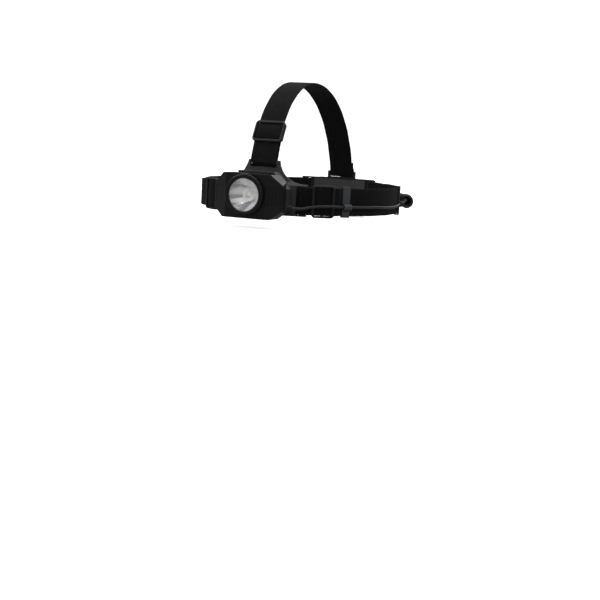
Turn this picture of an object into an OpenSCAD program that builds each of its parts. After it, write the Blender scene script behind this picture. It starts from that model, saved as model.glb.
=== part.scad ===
// Cap lamp worn on a helmet: lamp head on a tilting hinge, webbing harness, rear battery case.
// +Z up, the beam points along -Y, +X is the wearer's left. Origin: centre of the head loop.

/* [Webbing] */
// Width of the webbing
web_w = 30; // [26:0.5:32]
// Thickness of the webbing
web_t = 1.6; // [1.2:0.1:2]
/* [Head loop] */
// Inside radius of the loop round the front half of the helmet
loop_r = 109.5; // [105:0.5:114]
// Inside distance from the loop's centre to its back
loop_back = 125; // [120:0.5:128]
// Inside radius of the loop's gently curved sides
loop_side_r = 165; // [150:1:200]
/* [Crown strap] */
// Outside radius of the crown strap over the forehead
crown_front_r = 130; // [124:1:136]
// Heading at which the forehead arc gives way to the top arc
crown_turn = 50; // [46:1:54]
// Outside radius over the top of the helmet
crown_top_r = 96.4; // [90:0.2:104]
/* [Slide adjusters] */
// Length of an adjuster along its strap
adj_len = 25; // [22:0.5:28]
// Thickness of the bars that cross the webbing
bar_t = 1.6; // [1.2:0.1:2.2]
// Width of the bars that cross the webbing
bar_w = 2.8; // [2:0.1:3.6]
// Width of the rails beside the webbing
rail_w = 2.2; // [1.6:0.1:3]
// Angle of the side adjusters from straight ahead
side_adj_phi = 35.4; // [34:0.2:36]
// Heading of the strap where the crown adjuster sits
crown_adj_heading = 61.8; // [58:0.2:64]
/* [Front bracket] */
// Thickness of the bracket plate
plate_t = 2.2; // [1.8:0.1:2.6]
// Angle from straight ahead to the plate's ends
plate_phi = 26.3; // [25:0.1:27]
// Height of the side arms below the beam's level line
arm_low = 17; // [16.5:0.1:18]
// Backward lean of the plate above the loop's mid height
plate_lean = 11; // [9:0.5:13]
// Height of the neck's top edge
neck_top = 41; // [39:0.5:44]
// Width of the neck at its top edge
neck_w = 36; // [35:0.5:40]
// Depth of the plinth that the lamp closes against
plinth_d = 8; // [7.5:0.5:10]
// Half width of the plinth
plinth_hw = 36; // [34:0.5:37]
// Height of the plinth's hood above the loop's mid height
plinth_top = 29.2; // [28.6:0.1:31]
/* [Lamp head] */
// Width of the lamp head across its side wings
lamp_w = 78.8; // [74:0.4:82]
// Width of the flat front face between the wings
lamp_face_w = 46; // [45:0.5:50]
// Top of the lamp head
lamp_top = 27; // [26:0.1:27.4]
// Bottom of the lamp head
lamp_bottom = -20; // [-22:0.5:-19]
// Depth of the lamp head without its barrel
lamp_d = 26; // [24:0.5:30]
// How far the wings fall back from the front face
wing_back = 9.3; // [7:0.1:11]
// Wall of the lamp housing
lamp_wall = 2; // [1.6:0.1:2.4]
// Height of the beam's axis
beam_z = 4.9; // [4:0.1:5.6]
// Inside radius of the barrel
barrel_r = 18.6; // [17.5:0.1:19]
// Length of the barrel in front of the face
barrel_l = 3.5; // [3:0.1:5]
// Radius of the opening in the lens ring
aperture_r = 17.2; // [16:0.1:17.4]
// Radius of the reflector's opening round the emitter
reflector_hole_r = 7.1; // [6:0.1:8]
// Depth of the reflector
reflector_d = 10.5; // [9:0.5:13]
// Radius of the lamp's hinge pin
pin_r = 1.25; // [1:0.05:1.5]
/* [Battery case] */
// Width of the case
case_w = 72; // [71:0.5:74]
// Height of the case
case_h = 41.5; // [41:0.5:44]
// Top face of the case
case_top = 16.5; // [15:0.5:17]
// Depth of the case behind the carrier plate
case_d = 15.2; // [15:0.1:18]
// Wall of the case
case_wall = 2; // [1.6:0.1:2.4]
// Thickness of the battery cover
cover_t = 3; // [2.6:0.1:4]
// Half angle of the carrier plate, seen from above
carrier_psi = 26; // [25.5:0.5:28]
// Radius of a cell
cell_r = 5.25; // [5:0.05:5.25]
// Length of a cell with its button
cell_l = 44.5; // [43:0.5:44.5]
/* [Cord] */
// Diameter of the cord
cord_d = 3.2; // [3:0.1:3.4]
// Outer diameter of the curly stretch
curly_d = 16; // [14:0.5:17]

/* [Hidden] */

$fn = 64;
big_fn = 360;       // facets of the loop's large arcs
gap = 0.3;          // clearance between layers, and round whatever moves
lap = 0.3;          // degrees by which arcs run into each other where they meet
seam = 0.04;        // extra thickness per side of an arc that laps over its neighbours
far = 400;          // reach of cutting shapes

// Layers measured outward from the helmet side of the inner webbing.
s_in = web_t;                    // outer face of the inner webbing
s_plate = s_in + gap;            // inner face of a plate or a centre bar
s_plate_top = s_plate + plate_t; // outer face of the plate
s_out = s_plate_top + gap;       // inner face of the outer webbing
s_top = s_out + web_t;           // outer face of the outer webbing
s_bar = s_top + gap;             // inner face of the end bars
s_bar_top = s_bar + bar_t;       // outer face of the end bars
slot_h = web_w + 2*gap;          // width of a passage for the webbing

function pol(r, a) = [r*cos(a), r*sin(a)];
function deg(len, r) = len/r*180/PI;   // angle of an arc of that length

// Loop seen from above: a front half circle, two side arcs and a back arc, all tangent.
side_c = loop_side_r - loop_r;                 // the side arcs' centres are at (-/+ side_c, 0)
back_cy = (loop_r*loop_r - loop_back*loop_back + 2*loop_side_r*(loop_back - loop_r))
    /(2*(loop_side_r - loop_back));            // the back arc's centre is at (0, back_cy)
back_r = loop_back - back_cy;
side_a = atan2(back_cy, side_c);               // angle that each side arc covers

// Front bracket, lamp and hinge, all placed from the loop's front.
plate_r0 = loop_r + s_plate;
plate_r = loop_r + s_plate_top;
bar_phi = plate_phi - deg(bar_w + 5, plate_r); // inner edge of the plate's end bars
side_slot = 2.6;                               // width of the plate's side slots
plinth_y = -plate_r - plinth_d;
lamp_gap = 0.4;
lamp_y = plinth_y - lamp_gap;                  // back face of the lamp head
back_t = 2;                                    // thickness of the lamp's back cover
face_y = lamp_y - lamp_d;                      // flat front face
wing_y = face_y + wing_back;                   // widest line of the wings
barrel_y = face_y - barrel_l;                  // front rim of the barrel
back_hw = lamp_w/2 - 3.9;                      // half width at the back face
ear_r = 3.2;
knuckle_hw = 9.8;
ear_w = 3.2;
hinge_y = lamp_y + ear_r + lamp_gap;
hinge_z = lamp_bottom + 6;
lean_r = tan(plate_lean);                      // radius that the plate loses per unit of height
shoulder_h = 4;                                // height of the slope above the side straps
top_slot_z = neck_top - 6.6;                   // lower edge of the neck's slot
top_slot_h = 2.7;

// Crown strap in the Y-Z plane: outer face in three tangent arcs.
crown_h0 = 90 - plate_lean;                    // heading at the neck
crown_z0 = 35;
crown_y0 = -(plate_r - crown_z0*lean_r) - (s_top - s_plate_top)/cos(plate_lean);
crown_c1 = [crown_y0 + crown_front_r*sin(crown_h0), crown_z0 - crown_front_r*cos(crown_h0)];
crown_c2 = crown_c1 + (crown_front_r - crown_top_r)*[-sin(crown_turn), cos(crown_turn)];
crown_back_r = (back_cy + back_r + s_in - crown_c2[0])/cos(11.5);  // brings the strap down to the carrier
crown_c3 = crown_c2 + [0, crown_top_r - crown_back_r];
crown_base = crown_front_r - s_top;            // helmet side of the doubled webbing

// Battery case and carrier at the back of the loop.
carrier_r0 = back_r + s_plate;
carrier_r = carrier_r0 + plate_t + 0.2;
tail_r0 = carrier_r + gap;
tail_r = tail_r0 + web_t;
case_front_y = back_cy + carrier_r;            // outer face of the carrier on the centre line
case_y = case_front_y + case_d;                // rim that the cover closes
case_bottom = case_top - case_h;
case_mid_z = case_top - case_h/2;
tray_hw = 25.5;                                // half width of the cell tray
tray_floor = case_y - 13;
cell_y = tray_floor + 0.4 + cell_r;
cell_pitch = 12;
seal_t = 0.6;
cover_y = case_y + seal_t;
cover_pin_r = 0.9;
cover_axis = [case_y + 2.1, case_bottom - 2.6];
carrier_bar_psi = carrier_psi - deg(7, carrier_r);
carrier_slot = 2.6;
top_pass_z = case_top + 2;                     // lower edge of the carrier's slot for the crown strap
top_pass_h = web_t + 2*gap;
carrier_top = top_pass_z + top_pass_h + 5;
crown_end = asin((top_pass_z + gap + web_t/2 - crown_c3[1])/crown_back_r);
button_y = case_y - 8;
button_z = -1;
button_r = 4.5;
gland_z = -8;
front_gland_y = plinth_y + 4.8;
rear_gland = [case_w/2, case_y - 13.5, gland_z];

// Cord: its centre line, in round numbers, from the lamp to the curly stretch.
lamp_route = [[20, -120.5, -6], [20.5, -118, -6.5], [23, -117, -7.5], [28, -116.8, -8],
    [34, -116.8, -8], [41, -116.8, -8], [46, -114, -8], [50, -109.5, -8], [56, -106, -6.5],
    [65, -100.6, -5], [73.5, -94.6, -4.5], [80.5, -88.7, -4.5], [84.2, -79.1, -5], [89.7, -72.6, -5],
    [94.2, -66.6, -5], [98.2, -60.6, -5], [101.5, -54.7, -5], [104.5, -47.5, -5], [107.3, -39.5, -5],
    [110.5, -28, -5.5], [112.5, -18, -6], [113.7, -8, -6], [114, 2, -6], [113.7, 12, -5.5],
    [112.6, 22, -4.5], [111.2, 30, -4], [109.9, 36.7, -4], [109, 41, -4], [109.6, 48, -3], [111, 55, -2]];
// Cord: its centre line from the curly stretch to the battery case.
lead_route = [[68.8, 113.2, -2], [63, 117.2, -4], [57, 121.2, -6], [51.5, 125.5, -8], [47, 129, -8],
    [42, 130.8, -8]];
curly_r = 117;                                 // centre line's radius about the back arc's centre
curly_a = [18.2, 54];                          // angles from +X at which it starts and ends
curly_z = -2;

// Sector of a flat ring, about the origin.
module ring(r0, r1, a0, a1) {
    intersection() {
        difference() { circle(r1, $fn = big_fn); circle(r0, $fn = big_fn); }
        polygon(concat([[0, 0]], [for (i = [0:4]) pol(far, a0 + (a1 - a0)*i/4)]));
    }
}
// Curved bar of rectangular section about the Z axis.
module arc_bar(r0, r1, z0, z1, a0, a1) {
    rotate([0, 0, a0]) rotate_extrude(angle = a1 - a0, $fn = big_fn)
        translate([r0, z0]) square([r1 - r0, z1 - z0]);
}
// Local X, Y and Z become the part's Y, Z and X.
module upright() { rotate([90, 0, 90]) children(); }
// Flat shape drawn in X and Z, carried from y0 forward to y1, where y1 < y0.
module forward(y0, y1) {
    translate([0, y0, 0]) rotate([90, 0, 0]) linear_extrude(y0 - y1) children();
}
// Cylinder along -Y from y0 to y1, centred on x, z.
module bar_y(x, z, r, y0, y1) { translate([x, y0, z]) rotate([90, 0, 0]) cylinder(r = r, h = y0 - y1); }
// Cylinder along X.
module bar_x(x0, x1, y, z, r) { translate([x0, y, z]) rotate([0, 90, 0]) cylinder(r = r, h = x1 - x0); }
// Block between two corners.
module block(a, b) { translate(a) cube(b - a); }

// Tube swept along points with flat ends, its sides square to the route.
function unit(v) = v/norm(v);
function heading(p, i) = unit(p[min(i + 1, len(p) - 1)] - p[max(i - 1, 0)]);
function tube_ring(p, i, r, n, up) = let (d = heading(p, i), s = unit(cross(d, up)), u = cross(s, d))
    [for (k = [0:n - 1]) p[i] + r*(cos(360*k/n)*s + sin(360*k/n)*u)];
module tube(p, r, n = 8, up = [0, 0, 1]) {
    m = len(p);
    polyhedron(points = [for (i = [0:m - 1]) each tube_ring(p, i, r, n, up)],
        faces = concat([[for (k = [0:n - 1]) k]],
            [for (i = [0:m - 2], k = [0:n - 1]) [i*n + k, (i + 1)*n + k, (i + 1)*n + (k + 1)%n, i*n + (k + 1)%n]],
            [[for (k = [n - 1:-1:0]) (m - 1)*n + k]]));
}

// Three-bar slide adjuster about the Z axis, for webbing whose inner face is at radius base.
module adjuster(base, mid) {
    half = deg(adj_len/2, base + s_bar);
    w = deg(bar_w, base + s_bar);
    edge = deg(0.2, base);
    h = slot_h/2 + rail_w;
    bar_h = h - rail_w/2;
    for (s = [-1, 1]) {
        arc_bar(base + s_plate + 0.1, base + s_bar_top, min(s*h, s*slot_h/2), max(s*h, s*slot_h/2),
            mid - half, mid + half);
        arc_bar(base + s_bar, base + s_bar_top - 0.1, -bar_h, bar_h,
            mid + s*(half - edge) - (s > 0 ? w : 0), mid + s*(half - edge) + (s > 0 ? 0 : w));
    }
    arc_bar(base + s_plate, base + s_plate_top, -bar_h, bar_h, mid - w/2, mid + w/2);
}

// ---- Front bracket ----
module plate_face() {
    flank_r = 28.8;
    flank_x = neck_w/2 + flank_r;
    arm_x = plate_r*sin(plate_phi);
    difference() {
        union() {
            translate([-arm_x, -arm_low]) square([2*arm_x, 2*arm_low]);
            translate([-flank_x, 0]) square([2*flank_x, neck_top]);
            translate([-20, -arm_low - 2]) square([40, 10]);
        }
        for (s = [-1, 1]) translate([s*flank_x, flank_r + arm_low + 0.1]) circle(flank_r);
    }
}
// Solid of revolution under the plate's face: upright up to z0, and leaning back above the shoulder.
module lean_solid(r, z0 = 0) {
    rotate_extrude($fn = big_fn)
        polygon([[0, -60], [r, -60], [r, z0], [r - (z0 + shoulder_h)*lean_r, z0 + shoulder_h],
            [r - 60*lean_r, 60], [0, 60]]);
}
module plinth_outline(s) {
    w = plinth_hw - s;
    t = plinth_top - s;
    polygon([[-w, -12], [w, -12], [w, 12 - s/2], [20 - s/2, t], [-20 + s/2, t], [-w, 12 - s/2]]);
}
module front_bracket() color("#2b2c2f") {
    difference() {
        union() {
            intersection() {
                difference() { lean_solid(plate_r, slot_h/2 + 0.5); lean_solid(plate_r0); }
                forward(0, -far) plate_face();
            }
            difference() {
                forward(-loop_r + 10, plinth_y) difference() { plinth_outline(0); plinth_outline(2.5); }
                lean_solid(plate_r - 0.6);
            }
            // Hood over the lamp's top edge
            block([-20, plinth_y - 4.4, plinth_top - 1.6], [20, plinth_y + 1, plinth_top]);
            // Hinge ears
            for (s = [-1, 1])
                translate([s*(knuckle_hw + 0.4 + ear_w/2), 0, 0]) upright()
                    linear_extrude(ear_w, center = true) {
                        translate([hinge_y, hinge_z]) circle(ear_r);
                        translate([hinge_y, hinge_z - ear_r]) square([-plate_r + 1.6 - hinge_y, 2*ear_r]);
                    }
        }
        // Slots for the side straps and the crown strap
        for (s = [-1, 1])
            arc_bar(loop_r - 5, plate_r + 1, -slot_h/2, slot_h/2,
                -90 + s*bar_phi - (s > 0 ? deg(side_slot, plate_r) : 0),
                -90 + s*bar_phi + (s > 0 ? 0 : deg(side_slot, plate_r)));
        block([-slot_h/2, -far, top_slot_z], [slot_h/2, -loop_r/2, top_slot_z + top_slot_h]);
        // Room behind the plate's ends for the webbing
        for (s = [-1, 1])
            arc_bar(loop_r - 12, plate_r0 + 0.15, -slot_h/2 - 0.25, slot_h/2 + 0.25,
                -90 + (s > 0 ? bar_phi - 0.6 : -plate_phi - 4), -90 + (s > 0 ? plate_phi + 4 : -bar_phi + 0.6));
        intersection() {
            upright() translate(crown_c1) linear_extrude(slot_h, center = true)
                circle(crown_base + s_plate + 0.25, $fn = big_fn);
            block([-slot_h/2, -far, top_slot_z + 1], [slot_h/2, -loop_r/2, neck_top + 5]);
        }
        bar_x(-20, 20, hinge_y, hinge_z, pin_r);
        bar_x(20, 60, front_gland_y, gland_z, 3);
    }
}
module bracket_pad() color("#3a3a3c") {
    pad_phi = bar_phi - deg(side_slot + 0.6, plate_r);
    pad_x = plate_r0*sin(pad_phi);
    intersection() {
        difference() { lean_solid(plate_r0); lean_solid(loop_r); }
        forward(0, -far) union() {
            translate([-pad_x, -arm_low + 1]) square([2*pad_x, 2*arm_low - 2]);
            translate([-neck_w/2 + 1, 0]) square([neck_w - 2, top_slot_z - 1]);
        }
    }
}
module lamp_hinge_pin() color("silver") {
    bar_x(-knuckle_hw - 0.4 - ear_w, knuckle_hw + 0.4 + ear_w, hinge_y, hinge_z, pin_r);
}
// Bored cylinder with a flange, along X from x0 to x1.
module gland(x0, x1, y, z, r) {
    difference() {
        union() {
            bar_x(x0, x1, y, z, r);
            bar_x(x0 + 2.6, x0 + 4.2, y, z, r + 0.8);
        }
        bar_x(x0 - 1, x1 + 1, y, z, cord_d/2);
    }
}
module front_cord_gland() color("#1d1d1f") {
    gland(plinth_hw - 2.6, plinth_hw + 5, front_gland_y, gland_z, 3);
}

// ---- Lamp head ----
module lamp_plan(s) {
    w = lamp_w/2 - s;
    f = lamp_face_w/2 - s/2;
    polygon([[-f, face_y + s], [f, face_y + s], [w, wing_y + s/2], [back_hw - s, lamp_y], [back_hw - s, lamp_y + 9],
        [-back_hw + s, lamp_y + 9], [-back_hw + s, lamp_y], [-w, wing_y + s/2]]);
}
module lamp_outline(s, half_w = lamp_w/2) {
    w = half_w - s;
    t = lamp_top - s;
    b = lamp_bottom + s;
    c = 12 - s/2;   // corner chamfers
    polygon([[-w + c, b], [w - c, b], [w, b + 9 - s/2], [w, t - c + 1], [w - c, t], [-w + c, t],
        [-w, t - c + 1], [-w, b + 9 - s/2]]);
}
module lamp_body(s, y0) {
    intersection() {
        translate([0, 0, lamp_bottom - 5]) linear_extrude(lamp_top - lamp_bottom + 10) lamp_plan(s);
        forward(y0, face_y - 1) lamp_outline(s);
    }
}
screw_x = back_hw - 6.5;
screw_at = [for (x = [-screw_x, screw_x], z = [lamp_bottom + 14, lamp_top - 18]) [x, z]];
rib_pitch = 3.6;
module lamp_housing() color("#1b1b1d") {
    difference() {
        union() {
            difference() {
                union() {
                    lamp_body(0, lamp_y - back_t);
                    bar_y(0, beam_z, barrel_r + 2, face_y + 3, barrel_y);
                }
                lamp_body(lamp_wall, lamp_y + 5);
            }
            bar_y(0, beam_z, barrel_r + 2, face_y + 17, face_y + 1);
            for (p = screw_at) bar_y(p[0], p[1], 3, lamp_y - back_t, wing_y - 3);
        }
        bar_y(0, beam_z, barrel_r, lamp_y, barrel_y - 1);
        for (p = screw_at) bar_y(p[0], p[1], 1.1, lamp_y, lamp_y - 10);
        // Shallow panels let into the wings, with grip ribs left standing in the wearer's left one
        for (s = [-1, 1]) difference() {
            intersection() {
                difference() {
                    translate([0, 0, -6.2]) linear_extrude(20) lamp_plan(-1);
                    translate([0, 0, -7.2]) linear_extrude(22) lamp_plan(1.1);
                }
                forward(wing_y + 1, face_y - 2)
                    translate([s > 0 ? lamp_face_w/2 : -lamp_w/2 - 1, -6.2]) square([lamp_w/2 - lamp_face_w/2 + 1, 20]);
            }
            if (s > 0) for (i = [0:3]) {
                x = lamp_face_w/2 + 2.6 + i*rib_pitch;
                block([x - 0.7, face_y - 5, -10], [x + 0.7, lamp_y, 20]);
            }
        }
    }
}
module lamp_back() color("#1b1b1d") {
    difference() {
        union() {
            intersection() {
                translate([0, 0, lamp_bottom - 5]) linear_extrude(lamp_top - lamp_bottom + 10) lamp_plan(0);
                forward(lamp_y, lamp_y - back_t) lamp_outline(0);
            }
            bar_x(-knuckle_hw, knuckle_hw, hinge_y, hinge_z, ear_r);
            block([-knuckle_hw, lamp_y - 0.5, hinge_z - ear_r], [knuckle_hw, hinge_y, hinge_z + ear_r]);
        }
        bar_x(-20, 20, hinge_y, hinge_z, pin_r + 0.05);
        for (p = screw_at) bar_y(p[0], p[1], 1.5, lamp_y + 1, lamp_y - back_t - 1);
        bar_y(20, -6, 2.6, lamp_y + 1, lamp_y - back_t - 1);
    }
}
module lamp_grommet() color("#101011") {
    difference() {
        union() {
            bar_y(20, -6, 2.6, lamp_y + 1.5, lamp_y - back_t);
            bar_y(20, -6, 3.4, lamp_y + 1.5, lamp_y);
        }
        bar_y(20, -6, cord_d/2, lamp_y + 2, lamp_y - back_t - 1);
    }
}
module lamp_back_seal() color("#151515") {
    forward(lamp_y - back_t, lamp_y - back_t - 1.2) difference() {
        lamp_outline(lamp_wall + 0.1, back_hw);
        lamp_outline(lamp_wall + 0.9, back_hw);
    }
}
module lamp_screws() color("silver") {
    for (p = screw_at) difference() {
        union() {
            bar_y(p[0], p[1], 2.5, lamp_y + 1.5, lamp_y);
            bar_y(p[0], p[1], 1.1, lamp_y, lamp_y - 9);
        }
        block([p[0] - 1.5, lamp_y + 0.7, p[1] - 0.3], [p[0] + 1.5, lamp_y + 2, p[1] + 0.3]);
        block([p[0] - 0.3, lamp_y + 0.7, p[1] - 1.5], [p[0] + 0.3, lamp_y + 2, p[1] + 1.5]);
    }
}
lens_t = 1.6;
lens_y = barrel_y + 0.4 + lens_t;      // back face of the lens
ring_lip = 1.3;
module lens_ring() color("#131314") {
    translate([0, barrel_y, beam_z]) rotate([90, 0, 0]) difference() {
        rotate_extrude() polygon([[aperture_r, 0], [barrel_r + 2.1, 0], [barrel_r + 2.1, 1 - barrel_l],
            [barrel_r + 3.6, 1 - barrel_l], [barrel_r + 3.6, ring_lip - 0.8], [barrel_r + 2.8, ring_lip],
            [aperture_r + 0.9, ring_lip], [aperture_r, ring_lip - 0.9]]);
        for (i = [0:23]) rotate([0, 0, 15*i]) translate([barrel_r + 4, 0, -barrel_l]) cylinder(r = 0.9, h = barrel_l);
    }
}
module lens() color("#dfe8ee", 0.4) { bar_y(0, beam_z, barrel_r - 0.2, lens_y, barrel_y + 0.4); }
module lens_seal() color("#151515") {
    translate([0, barrel_y + 0.4, beam_z]) rotate([90, 0, 0])
        rotate_extrude() translate([aperture_r + 0.2, 0]) square([barrel_r - aperture_r - 0.4, 0.4]);
}
// Parabolic bowl from its rim, at h = 0, down to the hole round the emitter.
bowl_r = aperture_r + 0.3;
function bowl(h, s) = sqrt(pow(reflector_hole_r + s, 2)
    + (pow(bowl_r + s, 2) - pow(reflector_hole_r + s, 2))*(1 - h/reflector_d));
module reflector() color("#e8eaec") {
    steps = 10;
    translate([0, lens_y, beam_z]) rotate([-90, 0, 0]) rotate_extrude() polygon(concat(
        [for (i = [0:steps]) [bowl(reflector_d*i/steps, 0), reflector_d*i/steps]],
        [for (i = [steps:-1:2]) [bowl(reflector_d*i/steps, 0.9), reflector_d*i/steps]],
        [[bowl(reflector_d*2/steps, 0.9), 1], [barrel_r - 0.2, 1], [barrel_r - 0.2, 0]]));
}
led_y = lens_y + reflector_d;          // front of the emitter's holder
module led_emitter() color("#f2e9b8") {
    translate([0, led_y + 1.2, beam_z]) rotate([90, 0, 0]) {
        cylinder(r = 3.4, h = 1.6);
        translate([0, 0, 1.6]) intersection() {
            translate([0, 0, -1]) sphere(r = 3.2);
            cylinder(r = 4, h = 3);
        }
    }
}
module led_holder() color("#f4f4f2") {
    difference() {
        bar_y(0, beam_z, reflector_hole_r + 2, led_y + 1.2, led_y);
        bar_y(0, beam_z, 3.5, led_y + 2, led_y - 1);
    }
}
module led_board() color("#e9e9e4") { bar_y(0, beam_z, 10.5, led_y + 2.8, led_y + 1.2); }
module heat_sink() color("#b9bcc0") {
    difference() {
        bar_y(0, beam_z, barrel_r - 0.4, led_y + 9, led_y + 2.8);
        for (i = [-2:2]) block([i*6 - 1, led_y + 5, beam_z - 30], [i*6 + 1, led_y + 10, beam_z + 30]);
    }
}
module driver_board() color("#1f5b38") {
    block([-16, lamp_y - 6.6, beam_z - 13], [16, lamp_y - 5.4, beam_z + 13]);
    block([-9, lamp_y - 5.4, beam_z - 8], [-1, lamp_y - 3.6, beam_z]);
    block([3, lamp_y - 5.4, beam_z - 4], [9, lamp_y - 3.9, beam_z + 2]);
    bar_y(8, beam_z + 8, 2.5, lamp_y - 3, lamp_y - 5.4);
}

// ---- Webbing ----
// Seen from above, for the wearer's left. The outer layer comes down at the angle step_phi.
module side_strap(step_phi) {
    start = -90 + bar_phi - deg(gap + web_t, plate_r);
    fold = -90 + bar_phi - deg(gap, plate_r);
    adj = -90 + side_adj_phi;
    step = -90 + step_phi;
    drop = 3.2;
    end = 90 - carrier_bar_psi + deg(gap + web_t, carrier_r);
    end_fold = 90 - carrier_bar_psi + deg(gap, carrier_r);
    tail = 90 - carrier_psi - 8;
    linear_extrude(web_w, center = true) {
        ring(loop_r + s_out, loop_r + s_top, fold, step);
        ring(loop_r, loop_r + s_in, fold, adj + 2);
        ring(loop_r, loop_r + s_top, start, fold + 0.02);
        polygon([pol(loop_r + s_out + 0.2, step - 0.5), pol(loop_r + s_top - 0.2, step - 0.5),
            pol(loop_r + s_in - 0.2, step + drop + 0.5), pol(loop_r + 0.2, step + drop + 0.5)]);
        ring(loop_r, loop_r + s_in, step + drop, lap);
        translate([-side_c, 0]) ring(loop_side_r - seam, loop_side_r + s_in + seam, -lap, side_a + lap);
        translate([0, back_cy]) {
            ring(back_r, back_r + s_in, side_a, end);
            ring(back_r, tail_r, end_fold, end);
            ring(tail_r0, tail_r, tail, end_fold + 0.02);
        }
    }
}
module side_strap_left() color("#17181a") { side_strap(43.8); }
module side_strap_right() color("#17181a") { mirror([1, 0, 0]) side_strap(57); }
module crown_strap() color("#17181a") {
    bar_z = top_slot_z + top_slot_h;
    fold = 180 - asin((bar_z - gap - crown_c1[1])/(crown_base + s_plate + plate_t/2));
    start = fold + deg(web_t, crown_base);
    adj = 90 + crown_adj_heading;
    upright() linear_extrude(web_w, center = true) {
        translate(crown_c1) {
            ring(crown_base + s_out, crown_front_r, 90 + crown_turn, fold);
            ring(crown_base, crown_base + s_in, adj - 2, fold);
            ring(crown_base, crown_front_r, fold - 0.02, start);
        }
        translate(crown_c2) ring(crown_top_r - web_t - seam, crown_top_r + seam, 90 - lap, 90 + crown_turn + lap);
        translate(crown_c3) ring(crown_back_r - web_t, crown_back_r, crown_end, 90);
        // Turned end round the carrier's top bar
        z = top_pass_z + gap;
        difference() {
            block2([back_cy + back_r, z], [back_cy + tail_r, carrier_top + 6]);
            block2([back_cy + back_r + s_in, z + web_t], [back_cy + tail_r0, far]);
            block2([0, z + 5], [back_cy + back_r + s_in + 1, far]);
        }
    }
}
// Flat rectangle between two corners
module block2(a, b) { translate(a) square(b - a); }

module side_adjuster_left() color("#232427") { adjuster(loop_r, -90 + side_adj_phi); }
module side_adjuster_right() color("#232427") { mirror([1, 0, 0]) adjuster(loop_r, -90 + side_adj_phi); }
module crown_adjuster() color("#232427") {
    upright() translate(crown_c1) adjuster(crown_base, 90 + crown_adj_heading);
}

// Clip that hooks over both edges of the webbing and holds the cord on its face.
module cord_clip(base, cord_r, cord_z, a0, a1) {
    h = slot_h/2 + 1.3;
    wall = 1.4;
    face = base + s_in + gap;
    rotate([0, 0, a0]) rotate_extrude(angle = a1 - a0, $fn = big_fn) difference() {
        union() {
            block2([base - wall, -h], [face + wall, h]);
            block2([face, cord_z - 2.4], [cord_r, cord_z + 2.4]);
            translate([cord_r, cord_z]) circle(cord_d/2 + gap + wall);
        }
        block2([base - gap, -slot_h/2], [face, slot_h/2]);
        block2([base - 2*wall, -slot_h/2 + 3], [base, slot_h/2 - 3]);
        translate([cord_r, cord_z]) circle(cord_d/2 + gap);
    }
}
clip_phi = 47.1;                // front edge of the front clip
clip_w = 8.6;
clip_cord_r = 115.4;            // radius at which the clips hold the cord
module cord_clip_front() color("#6d7073") {
    cord_clip(loop_r, clip_cord_r, -5, -90 + clip_phi, -90 + clip_phi + deg(clip_w, loop_r));
}
rear_clip_a = [10.5, 13.5];     // angles that the rear clip covers on the side arc
rear_clip_cord = [169.4, -4];   // radius about the side arc's centre, and height, of the cord
module cord_clip_rear() color("#38393c") {
    translate([-side_c, 0, 0]) cord_clip(loop_side_r, rear_clip_cord[0], rear_clip_cord[1],
        rear_clip_a[0], rear_clip_a[1]);
}

// ---- Cord ----
module lamp_cord() color("#141416") { tube(lamp_route, cord_d/2); }
module battery_lead() color("#141416") { tube(lead_route, cord_d/2); }
module curly_cord() color("#1a1a1c") {
    translate([0, back_cy, curly_z]) rotate([0, 0, curly_a[0]])
        rotate_extrude(angle = curly_a[1] - curly_a[0], $fn = big_fn)
            translate([curly_r, 0]) circle(curly_d/2);
}

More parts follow.
